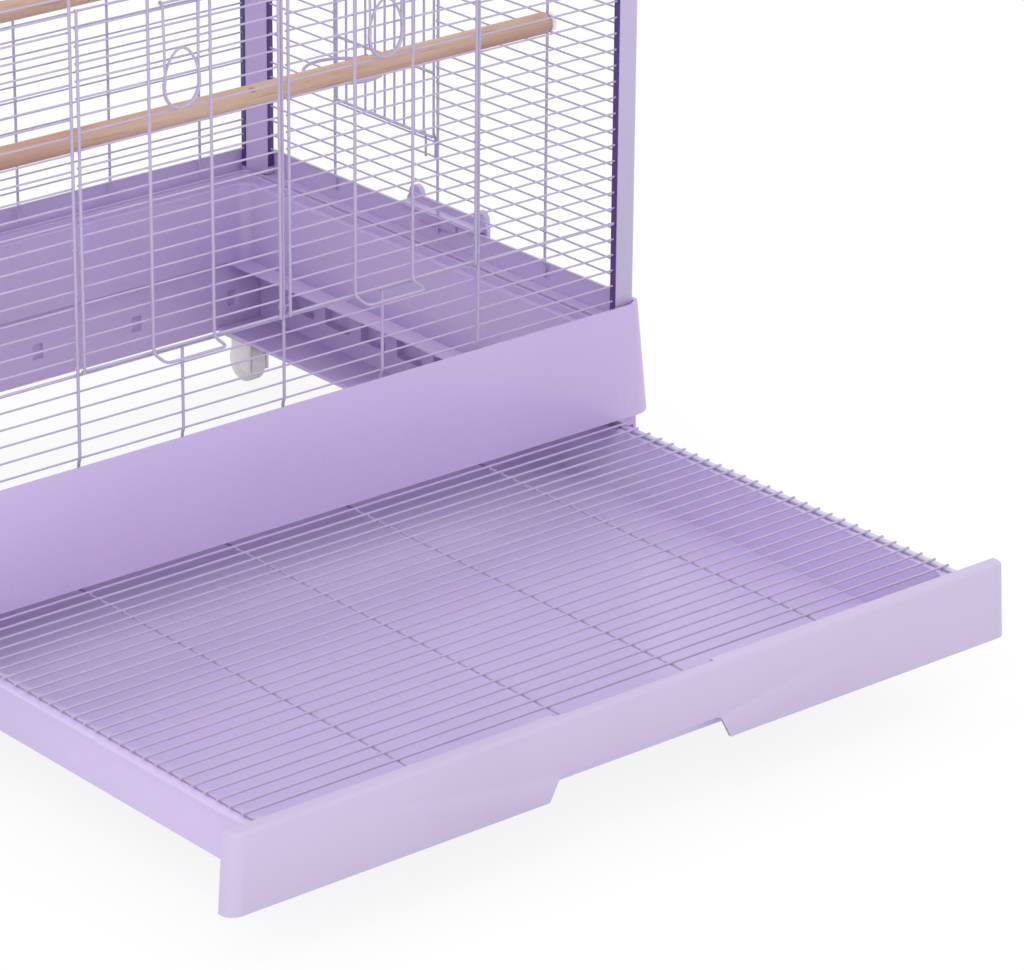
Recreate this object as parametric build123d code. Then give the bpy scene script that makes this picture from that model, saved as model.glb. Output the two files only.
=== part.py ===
"""Rolling flight cage: wire cage on a flared plastic base, pull-out tray, low stand on casters.

Units are millimetres. X runs to the cage's right, Y to its back, Z up from the floor.
Y = 0 is the plane of the front wires while building; SHIFT_Y centres the finished part.
"""
import os

from build123d import *

# Driving dimensions
PITCH = 15.0                 # between the horizontal wires, 12.8 clear
WIRE = 2.2
COLUMN_WIRE = 3.0
COLUMN_STEP = 108.75         # between the vertical wires of the front
HALF_WIDTH = 379.5           # cage centre to the posts' inner faces
DEPTH = 552.0                # front wires to back wires
SIDE_X = 398.0               # cage centre to the side wires
POST = 22.5                  # side of a corner post
POST_FACE = 4.0              # wires to the post's outer face
POST_CUT = 14.5              # chamfer on the post's inner corner
STRIP = 6.8                  # width of the channel strips
STRIP_THICK = 0.7
SIDE_STEP = 157.0            # between the vertical wires of a side
TOTAL_HEIGHT = 880.0
SKIRT_BOTTOM = 124.5
SKIRT_TOP = 229.0
SKIRT_HALF_X = 407.5         # at the skirt's top edge
SKIRT_FRONT = -11.0
SKIRT_FLARE = 10.0
RIM_INNER_X = 402.5          # inner face of the skirt's rim
SKIN = 3.0
RAIL_BOTTOM = 53.0
TRAY_OUT = 455.0             # how far the tray stands out at rest
FASCIA_FRONT = -473.0
FASCIA_HALF = 415.0
FASCIA_TOP = 124.0
FASCIA_BOTTOM = 55.0
FASCIA_DEEP = 15.0
NOTCH_WIDTH = 172.0          # at its top
NOTCH_SPREAD = 12.0          # how much wider each side is at the bottom
NOTCH_HIGH = 22.0
GRATE_HALF = 375.0
GRATE_PITCH = 16.0
GRATE_WIRE = 2.4
TRAY_RIM = 115.5             # top of the tray's rim, which carries the grate
GRATE_RUNS = (-224.0, -69.0, 64.0, 217.0)   # the grate's long wires, unevenly spaced
PERCH_R = 10.0
PERCHES = {"perch_front": (119.0, 465.0), "perch_back": (433.0, 474.0)}
DOOR_CENTRES = {"left": -COLUMN_STEP, "right": COLUMN_STEP}
WHEEL_R = 20.0

# Heights of the wire work
FIRST_WIRE = 232.5           # lowest horizontal wire
SILL_Z = FIRST_WIRE + 5 * PITCH
DOOR_ROWS = 22
DOOR_TOP = SILL_Z + DOOR_ROWS * PITCH
ROOF_Z = 850.0
LAST_ROW = 41
CENTRE_Y = DEPTH / 2
SKIRT_BACK = DEPTH - SKIRT_FRONT
SIDE_START = POST - POST_FACE          # front wires to the face that the side wires start from
WIRE_GAP = 1.1               # post's face to the ends of the wires
FOOT = PITCH - WIRE - 0.05   # a column's end, down to the panel below
SHIFT_Y = -(FASCIA_FRONT + SKIRT_BACK + SKIRT_FLARE) / 2

parts = {}


def keep(name, *solids):
    """Store one node: a solid, or a group of separate solids."""
    placed = [Pos(0, SHIFT_Y, 0) * solid for solid in solids]
    parts[name] = placed[0] if len(placed) == 1 else Compound(children=placed)


def box(x0, x1, y0, y1, z0, z1):
    """Block between two corners."""
    return Pos((x0 + x1) / 2, (y0 + y1) / 2, (z0 + z1) / 2) * Box(x1 - x0, y1 - y0, z1 - z0)


def rod(start, end, radius):
    """Round bar between two points."""
    a, b = Vector(*start), Vector(*end)
    return extrude(Plane(a, z_dir=b - a) * Circle(radius), (b - a).length)


def round_block(x0, x1, y0, y1, z0, z1, radius):
    """Upright block with rounded corners in plan."""
    plan = Pos((x0 + x1) / 2, (y0 + y1) / 2, z0) * RectangleRounded(x1 - x0, y1 - y0, radius)
    return extrude(plan, z1 - z0)


def bent_wire(points, radius, bend):
    """Wire of constant section along straight runs joined by tangent bends."""
    path = FilletPolyline(*points, radius=bend)
    return sweep(Plane(path @ 0, z_dir=path % 0) * Circle(radius), path=path)


def teeth(edge, length, spots, width):
    """Outline steps along one side: a finger of that length at each spot."""
    steps = []
    for spot in spots:
        steps += [(spot - width / 2, edge), (spot - width / 2, edge + length)]
        steps += [(spot + width / 2, edge + length), (spot + width / 2, edge)]
    return steps


def grille(columns, rows, place, thick=WIRE, ends=(0.0, 0.0, 0.0, 0.0), wire=WIRE, column=COLUMN_WIRE):
    """Flat grid of crossing wires as one solid.

    columns and rows are the wires' places along the two directions of the grid, ends is how far
    the wires stand out past the outermost ones (low side, high side, left, right), and place
    turns a point of the flat grid, with its height over it, into a point of the cage.
    """
    low, high, left, right = ends
    u0, u1 = columns[0] - column / 2, columns[-1] + column / 2
    v0, v1 = rows[0] - wire / 2, rows[-1] + wire / 2
    outline = teeth(v0, -low, columns, column)
    outline += [(v, u) for u, v in teeth(u1, right, rows, wire)]
    outline += reversed(teeth(v1, high, columns, column))
    outline += [(v, u) for u, v in reversed(teeth(u0, -left, rows, wire))]
    tidy = [p for i, p in enumerate(outline) if p != outline[i - 1]]
    holes = []
    for c0, c1 in zip(columns, columns[1:]):
        for r0, r1 in zip(rows, rows[1:]):
            a, b = c0 + column / 2, c1 - column / 2
            c, d = r0 + wire / 2, r1 - wire / 2
            holes.append(Wire.make_polygon([place(a, c, 0), place(b, c, 0), place(b, d, 0), place(a, d, 0)]))
    outer = Wire.make_polygon([place(u, v, 0) for u, v in tidy])
    lift = Vector(*place(0, 0, thick)) - Vector(*place(0, 0, 0))
    return Solid.extrude(Face(outer, holes), lift)


def front_at(y):
    """Grid in an upright plane across the cage."""
    return lambda u, v, w: (u, y + w, v)


def side_at(x):
    """Grid in an upright plane along the cage."""
    return lambda u, v, w: (x + w, u, v)


def rows_from(first, count, start=FIRST_WIRE):
    """Heights of a run of horizontal wires."""
    return [start + (first + i) * PITCH for i in range(count)]


def make_base():
    """Flared double-walled base with a groove on top for the posts and the wire panels."""
    x, y0, y1 = SKIRT_HALF_X + SKIRT_FLARE, SKIRT_FRONT - SKIRT_FLARE, SKIRT_BACK + SKIRT_FLARE
    height = SKIRT_TOP - SKIRT_BOTTOM
    lean = atan_deg(SKIRT_FLARE, height)
    foot = Pos(0, (y0 + y1) / 2, SKIRT_BOTTOM) * RectangleRounded(2 * x, y1 - y0, 24)
    shell = extrude(foot, height, taper=lean)
    inner_x, inner_y = 368.0, 16.0
    well = round_block(-inner_x, inner_x, inner_y, DEPTH - inner_y, 0, 300, 12)
    groove_out = round_block(-RIM_INNER_X, RIM_INNER_X, SKIRT_FRONT + 2.7, SKIRT_BACK - 2.7, 206, 300, 12)
    rib_x, rib_y = 379.0, 6.0
    ledge = round_block(-rib_x, rib_x, rib_y, DEPTH - rib_y, 203, 300, 8)
    rib = round_block(-rib_x - 2, rib_x + 2, rib_y - 2, DEPTH - rib_y + 2, 206, 212, 9) - ledge
    hollow = round_block(-402, 402, -8, DEPTH + 8, 100, 199, 16)
    core = round_block(-inner_x - SKIN, inner_x + SKIN, inner_y - SKIN, DEPTH - inner_y + SKIN, 90, 210, 13)
    shell = shell - well - groove_out + rib - ledge - (hollow - core)
    play, reach = 0.3, HALF_WIDTH + POST
    for x0, x1 in ((-reach, -HALF_WIDTH), (HALF_WIDTH, reach)):
        for y0 in (-POST_FACE, DEPTH + POST_FACE - POST):
            shell -= box(x0 - play, x1 + play, y0 - play, y0 + POST + play, 206.9, 300)
    keep("base_skirt", shell)


def atan_deg(opposite, adjacent):
    """Angle of a slope in degrees."""
    return Vector(adjacent, 0, 0).get_angle(Vector(adjacent, opposite, 0))


def make_posts():
    """Corner posts: square bars, outer corner rounded and inner corner cut off."""
    for y_name, y, sy in (("front", -POST_FACE, 1), ("back", DEPTH + POST_FACE, -1)):
        for x_name, sx in (("left", -1), ("right", 1)):
            bar = box(0, POST, 0, POST, 0, ROOF_Z - 207)
            bar = fillet(bar.edges().filter_by(Axis.Z).group_by(Axis.X)[-1].sort_by(Axis.Y)[0], 5)
            bar = chamfer(bar.edges().filter_by(Axis.Z).group_by(Axis.X)[0].sort_by(Axis.Y)[-1], POST_CUT)
            bar = bar if sy > 0 else mirror(bar, Plane.XZ)
            bar = bar if sx > 0 else mirror(bar, Plane.YZ)
            keep(f"post_{y_name}_{x_name}", Pos(sx * HALF_WIDTH, y, 207) * bar)


def make_seals():
    """Dark channel strips on the posts that the wire ends plug into."""
    low, high, gap, half = 214.5, ROOF_Z - 0.3, 0.1, STRIP / 2
    strips = []
    for sx in (-1, 1):
        near, far = sorted((sx * (HALF_WIDTH - gap), sx * (HALF_WIDTH - gap - STRIP_THICK)))
        for y in (0.0, DEPTH):
            strips.append(box(near, far, y - half, y + half, low, high))
        for y in (SIDE_START + gap, DEPTH - SIDE_START - gap - STRIP_THICK):
            strips.append(box(sx * SIDE_X - half, sx * SIDE_X + half, y, y + STRIP_THICK, low, high))
    keep("channel_strips", *strips)


def make_front():
    """Front wires: a low grille under the doors, one beside each, and one above."""
    place = front_at(-WIRE / 2)
    column = [i * COLUMN_STEP for i in range(-2, 3)]
    edge = HALF_WIDTH - WIRE_GAP
    side_end = edge - column[-1] - COLUMN_WIRE / 2
    low = grille(column, rows_from(0, 6), place, ends=(15, 0, side_end, side_end))
    keep("front_grille_low", low)
    rows = rows_from(6, LAST_ROW - 5)
    post_bar = edge - COLUMN_WIRE / 2
    for name, columns in (("left", [-post_bar, column[0] - 5.6]), ("right", [column[-1] + 5.6, post_bar])):
        keep(f"front_grille_{name}", grille(columns, rows, place, ends=(FOOT, 0, 0, 0)))
    over = rows_from(5 + DOOR_ROWS + 1, LAST_ROW - 5 - DOOR_ROWS)
    keep("front_grille_top", grille([column[0] + 4.5, 0, column[-1] - 4.5], over, place))
    foot, under = SILL_Z + WIRE / 2 + 0.05, over[0] - WIRE / 2 - 0.05
    guides = [(column[0], ROOF_Z - 3), (0, under), (column[-1], ROOF_Z - 3)]
    keep("door_guides", *[rod((x, 0, foot), (x, 0, top), COLUMN_WIRE / 2) for x, top in guides])


def make_back():
    """Back wires in one flat panel."""
    edge = HALF_WIDTH - WIRE_GAP
    columns = [i * COLUMN_STEP for i in range(-3, 4)]
    end = edge - columns[-1] - COLUMN_WIRE / 2
    rows = rows_from(0, LAST_ROW + 1)
    keep("back_grille", grille(columns, rows, front_at(DEPTH - WIRE / 2), ends=(15, 0, end, end)))


FEEDER_ROWS = 10             # wire pitches that the side feeder opening is high
FEEDER_FROM = CENTRE_Y
FEEDER_TO = CENTRE_Y + SIDE_STEP
FEEDER_PIN_X = 2.2           # hinge line, outside the side wires
FEEDER_PIN_Y = FEEDER_TO - 3.0


def make_sides():
    """Side wires, in four flat panels round the feeder opening."""
    y0, y1 = SIDE_START + WIRE_GAP, DEPTH - SIDE_START - WIRE_GAP
    front, back = CENTRE_Y - SIDE_STEP, FEEDER_TO
    half = COLUMN_WIRE / 2
    for name, sx in (("left", -1), ("right", 1)):
        place = side_at(sx * SIDE_X - WIRE / 2)
        all_columns = [front, CENTRE_Y, back]
        low = grille(all_columns, rows_from(0, 6), place, ends=(15, 0, front - half - y0, y1 - back - half))
        keep(f"{name}_grille_low", low)
        mid = rows_from(6, FEEDER_ROWS - 1)
        keep(f"{name}_grille_front", grille([y0 + half, front, CENTRE_Y], mid, place, ends=(FOOT, 0, 0, 0)))
        keep(f"{name}_grille_back", grille([back, y1 - half], mid, place, ends=(FOOT, 0, 0, 0)))
        high = rows_from(5 + FEEDER_ROWS, LAST_ROW - 4 - FEEDER_ROWS)
        top = grille(all_columns, high, place, ends=(FOOT, 0, front - half - y0, y1 - back - half))
        keep(f"{name}_grille_high", top)


def make_doors():
    """Two front doors that lift in the guide wires, each with a finger lip and a wire catch."""
    for name, centre in DOOR_CENTRES.items():
        half = COLUMN_STEP - 5.2
        columns = [centre - half, centre - 32, centre + 32, centre + half]
        rows = [SILL_Z + 3.4] + [SILL_Z + 3.0 + i * PITCH for i in range(1, DOOR_ROWS)]
        leaf = grille(columns, rows, front_at(-4.3), thick=2.6)
        keep(f"door_{name}_leaf", leaf)
        z = SILL_Z + 3.4
        ends, out = (centre - 32, centre + 32), -23
        lip = [(ends[0], -4.7, z), (ends[0], out, z - 3), (ends[1], out, z - 3), (ends[1], -4.7, z)]
        keep(f"door_{name}_lip", bent_wire(lip, 1.5, 4))
        hooks = []
        for x in (centre - COLUMN_STEP, centre + COLUMN_STEP):
            inward = 1 if x < centre else -1
            far = 0.4 if abs(x) < 1 else -3.5
            for height in (SILL_Z + 9.0, SILL_Z + 114.0):
                ring = Pos(x, 0, height) * (Cylinder(3.4, 2.4) - Cylinder(1.9, 3))
                reach = sorted((x + inward * far, x + inward * 3.5))
                hooks.append(ring & box(*reach, -8, 8, height - 2, height + 2))
        hooks = [hook - leaf for hook in hooks]
        keep(f"door_{name}_hooks", *hooks)
        keep(f"door_{name}_catch", *make_catch(centre))


def make_catch(centre):
    """Spring wire catch: a long eye of one and a half turns between two legs that hang on the door."""
    z = FIRST_WIRE + 21.1 * PITCH
    y, half, radius, bend, leg = -6.2, 18.5, 1.2, 17.5, 66.0
    left, right = centre - half, centre + half
    turn = [(left, y, z + leg), (left, y, z - 26), (right, y, z - 26), (right, y, z + leg)]
    over = y - 2.6
    arch = [(left, over, z), (left, over, z + 26), (right, over, z + 26), (right, over, z)]
    bar_z = z + leg + 1.3
    bar = rod((left - 2.5, y, bar_z), (right + 2.5, y, bar_z), radius)
    return [bent_wire(turn, radius, bend), bent_wire(arch, radius, bend), bar]


def make_feeders():
    """Side feeder doors of upright wires that swing out, each with a ring for a feeding cup."""
    half = COLUMN_WIRE / 2
    z0, z1 = SILL_Z + 5, SILL_Z + FEEDER_ROWS * PITCH - 5
    first, last = FEEDER_FROM + half + 2.5, FEEDER_TO - half - 4.2
    count = 11
    columns = [first + (last - first) * i / (count - 1) for i in range(count)]
    for name, sx in (("left", -1), ("right", 1)):
        x = sx * SIDE_X
        leaf = grille(columns, [z0, z0 + 64, z1], side_at(x - 1.3), thick=2.6, wire=3.0, column=2.4)
        pin_x = x + sx * FEEDER_PIN_X
        for z in (z0 + 20, z1 - 20):
            leaf += rod((pin_x, FEEDER_PIN_Y, z - 5), (pin_x, FEEDER_PIN_Y, z + 5), 1.2)
            tab = sorted((x + sx * 0.6, pin_x + sx * 0.4))
            leaf += box(*tab, last, FEEDER_PIN_Y, z - 5, z + 5)
        keep(f"feeder_{name}_leaf", leaf)
        cx, cy, cz = sx * (SIDE_X - 50), (first + last) / 2, z0 + 57
        ring = Pos(cx, cy, cz) * Torus(38, 1.6)
        arms = [rod((cx + sx * 30, cy + k * 22, cz), (x - sx * 1.4, cy + k * 22, cz), 1.6) for k in (-1, 1)]
        keep(f"feeder_{name}_ring", ring + arms[0] + arms[1])


def make_hinge_eyes():
    """Wire eyes on the side columns that hold the feeder doors' hinge pins from below and above."""
    eyes = []
    for sx in (-1, 1):
        x = sx * (SIDE_X + FEEDER_PIN_X)
        for z in (SILL_Z + 25, SILL_Z + FEEDER_ROWS * PITCH - 25):
            for k in (-1, 1):
                low, high = sorted((z + k * 5.3, z + k * 7.3))
                eyes.append(box(x - 1.0, x + 1.0, FEEDER_PIN_Y - 1, FEEDER_TO + 1.4, low, high))
    keep("feeder_hinge_eyes", *eyes)


def make_roof():
    """Plastic roof rim over the posts, with a flat grille let into it."""
    rim = round_block(-SKIRT_HALF_X, SKIRT_HALF_X, SKIRT_FRONT, SKIRT_BACK, ROOF_Z, TOTAL_HEIGHT, 20)
    rim = fillet(rim.faces().sort_by(Axis.Z)[-1].edges(), 8)
    rim -= round_block(-372, 372, 22, DEPTH - 22, 700, 900, 3)
    keep("roof_rim", rim)
    columns = [-368.0] + [i * COLUMN_STEP for i in range(-3, 4)] + [368.0]
    rows = [26.0 + i * (DEPTH - 52) / 33 for i in range(34)]
    row_z, reach_x, reach_y = 865.1, 371.5, 22.4
    column_z = row_z - (WIRE + COLUMN_WIRE) / 2 - 0.05
    wires = [rod((-reach_x, y, row_z), (reach_x, y, row_z), WIRE / 2) for y in rows]
    wires += [rod((x, reach_y, column_z), (x, DEPTH - reach_y, column_z), COLUMN_WIRE / 2) for x in columns]
    keep("roof_grille", *wires)
    foot, top, reach = 866.3, 877.5, 70.0
    grip = [(-reach, foot), (-reach, top), (reach, top), (reach, foot)]
    keep("roof_handle", bent_wire([(x, CENTRE_Y, z) for x, z in grip], 1.9, 8))


def make_perches():
    """Wooden dowels across the cage, standing on the side wires, with end caps outside."""
    reach = SIDE_X - 1.4
    caps = []
    for name, (y, z) in PERCHES.items():
        keep(name, rod((-reach, y, z), (reach, y, z), PERCH_R))
        caps += [rod((sx * (SIDE_X + 1.4), y, z), (sx * (SIDE_X + 5.4), y, z), 9) for sx in (-1, 1)]
    keep("perch_caps", *caps)


def make_stand():
    """Low stand: two side rails with the tray's runners, joined by a back wall."""
    web_in, web_out, top = 388.0, 411.0, SKIRT_BOTTOM - 0.1
    y0, y1 = 1.0, SKIRT_BACK
    for name, sx in (("left", -1), ("right", 1)):
        runner, flange, floor = 335.0, 346.0, RAIL_BOTTOM + 4
        section = [(web_in, RAIL_BOTTOM), (runner, RAIL_BOTTOM), (runner, floor), (web_in, floor),
                   (web_in, top - 2.6), (flange, top - 2.6), (flange, top), (web_out, top),
                   (web_out + 3, RAIL_BOTTOM)]
        end = Plane(origin=(0, y0, 0), x_dir=(1, 0, 0), z_dir=(0, -1, 0))
        rail = extrude(end * make_face(Polyline(*section, close=True)), -(y1 - 23 - y0))
        rail -= box(web_in + 3, web_out - 3, y0 - 1, y0 + 30, RAIL_BOTTOM + 8, 104)
        for i in range(8):
            y = y0 + 60 + i * 56
            rail -= box(web_in - 1, web_in + 9, y, y + 38, 78, 98)
        keep(f"stand_rail_{name}", rail if sx > 0 else mirror(rail, Plane.YZ))
    wall = box(-web_out, web_out, y1 - 22.8, y1, RAIL_BOTTOM, top)
    wall -= box(-web_in + 8, web_in - 8, y1 - 10, y1 + 1, RAIL_BOTTOM + 8, SKIRT_BOTTOM - 9)
    for i in range(-3, 4):
        wall -= box(i * 118 - 6, i * 118 + 6, y1 - 23, y1 - 18, 76, 92)
    keep("stand_back_wall", wall)


def make_tray():
    """Pull-out tray: a pan with sloping walls behind a deep front panel with a finger notch."""
    back = SKIRT_BACK - 24 - TRAY_OUT
    front = FASCIA_FRONT + FASCIA_DEEP
    middle = (front + back) / 2
    low, rim = 57.6, TRAY_RIM
    length = back - front
    outer = Pos(0, middle, low) * RectangleRounded(2 * 366, length - 16, 18)
    pan = extrude(outer, rim - 3 - low, taper=-6)
    pan += round_block(-384, 384, front + 0.1, back, rim - 3, rim, 12)
    inner = Pos(0, middle, low + SKIN) * RectangleRounded(2 * 363, length - 22, 16)
    pan -= extrude(inner, rim - low, taper=-6)
    pan = pan & box(-400, 400, front + 0.1, back + 10, low, rim)
    keep("tray_pan", pan)
    bottom = FASCIA_BOTTOM
    outline = [(-FASCIA_HALF - 5, bottom), (FASCIA_HALF + 5, bottom), (FASCIA_HALF, FASCIA_TOP),
               (-FASCIA_HALF, FASCIA_TOP)]
    plane = Plane(origin=(0, FASCIA_FRONT, 0), x_dir=(1, 0, 0), z_dir=(0, -1, 0))
    panel = extrude(plane * make_face(Polyline(*outline, close=True)), -FASCIA_DEEP)
    ends = panel.edges().filter_by(lambda e: abs((e % 0.5).Z) > 0.9).group_by(Axis.Y)[0]
    panel = fillet(ends, 12)
    panel = fillet(panel.faces().sort_by(Axis.Z)[-1].edges().group_by(Axis.Y)[0], 3)
    half, foot = NOTCH_WIDTH / 2, NOTCH_WIDTH / 2 + NOTCH_SPREAD
    high = bottom + NOTCH_HIGH
    notch = make_face(Polyline((-foot, bottom), (-half, high), (half, high), (foot, bottom), close=True))
    notch = fillet(notch.vertices().group_by(Axis.Y)[-1], 8)
    panel -= extrude(plane * notch, -60, both=True)
    panel -= box(-FASCIA_HALF + 8, FASCIA_HALF - 8, FASCIA_FRONT + 3, front + 1, bottom - 5, FASCIA_TOP - 3)
    panel -= box(-NOTCH_WIDTH / 2, NOTCH_WIDTH / 2, FASCIA_FRONT + 10, front + 1, 100, FASCIA_TOP + 1)
    front_skin = plane * Pos(0, bottom + NOTCH_HIGH + 2) * Rectangle(NOTCH_WIDTH + 6, 3)
    panel += extrude(front_skin, -FASCIA_DEEP + 1)
    keep("tray_front", panel)


def make_grate():
    """Lift-out wire grate: close cross wires on six long wires that rest on the tray's rim."""
    radius, front, count, stub = GRATE_WIRE / 2, -453.0, 34, 5.0
    long_z = TRAY_RIM + 0.1 + radius
    cross_z = long_z + GRATE_WIRE + 0.05
    back = front + (count - 1) * GRATE_PITCH
    runs = (-GRATE_HALF, *GRATE_RUNS, GRATE_HALF)
    wires = [rod((x, front - radius, long_z), (x, back + radius, long_z), radius) for x in runs]
    reach = GRATE_HALF + stub
    for i in range(count):
        y = front + i * GRATE_PITCH
        wires.append(rod((-reach, y, cross_z), (reach, y, cross_z), radius))
    keep("tray_grate", *wires)


def make_clips():
    """Rim clips at the middle of each side, pushed down over the base's rim from above."""
    wall, play, over = 4.0, 0.6, 11.0
    ear, ear_y = 9.0, 48.0
    for name, sx in (("left", -1), ("right", 1)):
        x = SKIRT_HALF_X + 3.6
        low, high = SKIRT_TOP - 24, SKIRT_TOP + over
        plate = box(x, x + wall, CENTRE_Y - 60, CENTRE_Y + 60, low, high)
        plate = fillet(plate.edges().filter_by(Axis.X), 8)
        inner, cap = RIM_INNER_X - 2.5, SKIRT_TOP + play + wall
        bridge = box(inner, x + wall, CENTRE_Y - 55, CENTRE_Y + 55, SKIRT_TOP + play, cap)
        tab = box(inner, RIM_INNER_X - 0.3, CENTRE_Y - 26, CENTRE_Y + 26, SKIRT_TOP - 8, cap)
        clip = plate + bridge + tab
        for k in (-1, 1):
            clip += Pos(x + 3, CENTRE_Y + k * ear_y, high) * Rot(0, 90, 0) * Cylinder(ear, 6)
        keep(f"clip_{name}", clip if sx > 0 else mirror(clip, Plane.YZ))


def make_casters():
    """Four swivel casters under the stand's corners."""
    plates = []
    trail = 10.0
    for y_name, y in (("front", 30.0), ("back", 516.0)):
        for x_name, x in (("left", -361.0), ("right", 361.0)):
            plate = box(x - 24, x + 24, y - 24, y + 24, RAIL_BOTTOM - 2.6, RAIL_BOTTOM - 0.1)
            plate = fillet(plate.edges().filter_by(Axis.Z), 6)
            plate += rod((x, y, 44.0), (x, y, RAIL_BOTTOM - 2.6), 4)
            plates.append(plate)
            hood = Pos(x, y, 46.6) * Cylinder(15, 6.4) - Pos(x, y, 46.6) * Cylinder(4.06, 8)
            cheeks = []
            for k in (-1, 1):
                cheek = box(x + k * 11.2 - 1.3, x + k * 11.2 + 1.3, y - 8, y + trail + 10, 14, 45)
                cheeks.append(cheek)
            bridge = box(x - 12.5, x + 12.5, y - 9, y + trail + 10, 42.6, 45)
            bridge -= Pos(x, y, 44) * Cylinder(4.06, 8)
            fork = hood + cheeks[0] + cheeks[1] + bridge
            axle = rod((x - 14, y + trail, WHEEL_R), (x + 14, y + trail, WHEEL_R), 2.5)
            keep(f"fork_{y_name}_{x_name}", fork + axle)
            wheel = Pos(x, y + trail, WHEEL_R) * Rot(0, 90, 0) * Cylinder(WHEEL_R, 17)
            wheel = fillet(wheel.edges(), 3)
            wheel -= rod((x - 20, y + trail, WHEEL_R), (x + 20, y + trail, WHEEL_R), 2.55)
            keep(f"wheel_{y_name}_{x_name}", wheel)
    keep("caster_plates", *plates)


def make_all():
    """Build every node and write it to its own file."""
    make_base()
    make_posts()
    make_seals()
    make_front()
    make_back()
    make_sides()
    make_doors()
    make_feeders()
    make_hinge_eyes()
    make_roof()
    make_perches()
    make_stand()
    make_tray()
    make_grate()
    make_clips()
    make_casters()
    os.makedirs("parts", exist_ok=True)
    for name, shape in parts.items():
        export_step(shape, f"parts/{name}.step")
    print(len(parts), "nodes")


make_all()
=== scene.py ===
"""Rolling flight cage: wire work, plastic shells, pull-out tray, perches and casters.

Everything is in metres in the model's own frame. The wires of a panel are drawn once and repeated
by a node tree; the plastic parts take their shape from the model and get rounded edges here.
"""

from math import cos, pi, radians, sin

import bmesh
import bpy
from mathutils import Matrix, Vector


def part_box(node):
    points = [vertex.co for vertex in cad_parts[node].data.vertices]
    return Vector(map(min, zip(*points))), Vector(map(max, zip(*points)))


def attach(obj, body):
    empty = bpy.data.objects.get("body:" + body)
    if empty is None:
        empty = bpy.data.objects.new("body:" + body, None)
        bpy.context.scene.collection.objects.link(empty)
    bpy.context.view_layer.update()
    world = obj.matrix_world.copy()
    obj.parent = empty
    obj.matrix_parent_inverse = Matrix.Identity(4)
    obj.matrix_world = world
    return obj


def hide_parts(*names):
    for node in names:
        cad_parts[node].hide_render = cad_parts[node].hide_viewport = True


bl_info = {
    "name": "Flight Cage Maker",
    "version": (1, 0, 0),
    "blender": (4, 5, 0),
    "location": "View3D > Sidebar > Cage",
    "description": "Builds the wire work, plastic shells, tray and casters of a rolling flight cage",
    "category": "Add Mesh",
}

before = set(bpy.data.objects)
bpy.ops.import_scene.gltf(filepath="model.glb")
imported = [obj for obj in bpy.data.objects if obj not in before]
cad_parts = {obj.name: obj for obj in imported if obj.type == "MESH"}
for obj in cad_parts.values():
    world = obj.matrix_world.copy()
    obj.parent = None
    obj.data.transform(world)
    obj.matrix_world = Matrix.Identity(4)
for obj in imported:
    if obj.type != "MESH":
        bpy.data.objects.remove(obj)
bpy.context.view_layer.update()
SIDES = (("left", -1), ("right", 1))
ROWS = 42                       # level wires from the base to the roof
FIRST_OPEN_ROW = 6              # the doors start above this many rows
DOOR_ROWS = 22
FEEDER_ROWS = 10
FEEDER_WIRES = 11
ROOF_ROWS = 34
SINK = 0.0003                   # how far crossing wires sink into each other where they are welded
PLUG = 0.0025                   # how far wire ends reach into the channel strips
FINE_WIRE = 0.0024              # catches, feeder doors and grate
RING_WIRE = 0.0032
GRATE_RUNS = (-0.224, -0.069, 0.064, 0.217)


def paint(red, green, blue):
    """Colour as seen on a screen, turned into the linear values that materials use."""
    def linear(level):
        level /= 255
        return level / 12.92 if level <= 0.04045 else ((level + 0.055) / 1.055) ** 2.4
    return (linear(red), linear(green), linear(blue), 1.0)


def length_input(name, description, default):
    """Property that holds a length."""
    return bpy.props.FloatProperty(name=name, description=description, default=default, unit="LENGTH",
                                   precision=5)


def colour_input(name, description, default):
    """Property that holds a colour."""
    return bpy.props.FloatVectorProperty(name=name, description=description, default=default,
                                         subtype="COLOR", size=4, min=0, max=1)


class CageSizes(bpy.types.PropertyGroup):
    """Sizes that a user may change."""
    pitch: length_input("Pitch", "Distance between the level wires", 0.015)
    wire: length_input("Level wire", "Thickness of the level wires", 0.0019)
    column: length_input("Upright wire", "Thickness of the upright wires", 0.0028)
    column_step: length_input("Upright step", "Distance between the uprights of the front", 0.10875)
    wobble: length_input("Wobble", "How far a drawn wire strays from straight", 0.0005)
    edge: length_input("Moulded edge", "Rounding of the plastic parts' edges", 0.0014)
    grate_pitch: length_input("Grate pitch", "Distance between the grate's cross wires", 0.016)


class CageColours(bpy.types.PropertyGroup):
    """Colours that a user may change."""
    shell: colour_input("Shell", "Base, stand and roof", paint(195, 176, 219))
    # Own colour of the front posts; the back posts take the lighter shell colour as painted light against
    # their shade.
    post: colour_input("Posts", "Corner posts", paint(188, 176, 207))
    tray_front: colour_input("Tray front", "Front panel of the tray", paint(192, 179, 210))
    # Written paler than the shell: painted light that lifts the shade inside the base and stands in for the
    # pan's whitish reflections.
    tray_pan: colour_input("Tray pan", "Inside of the tray", paint(205, 188, 229))
    strip: colour_input("Strips", "Channel strips that hold the wire ends", paint(74, 48, 116))
    coating: colour_input("Wire coating", "Powder coat on the wires", paint(182, 172, 202))
    wood: colour_input("Perch", "Pale wood of the perches", paint(216, 190, 166))
    grain: colour_input("Perch grain", "Darker lines in the wood", paint(176, 128, 112))
    caster: colour_input("Casters", "White plastic of the casters", paint(238, 236, 232))
    plate: colour_input("Caster plates", "Plated steel of the caster plates", paint(176, 176, 180))
    floor: colour_input("Floor", "Studio floor", paint(250, 250, 250))


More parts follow.
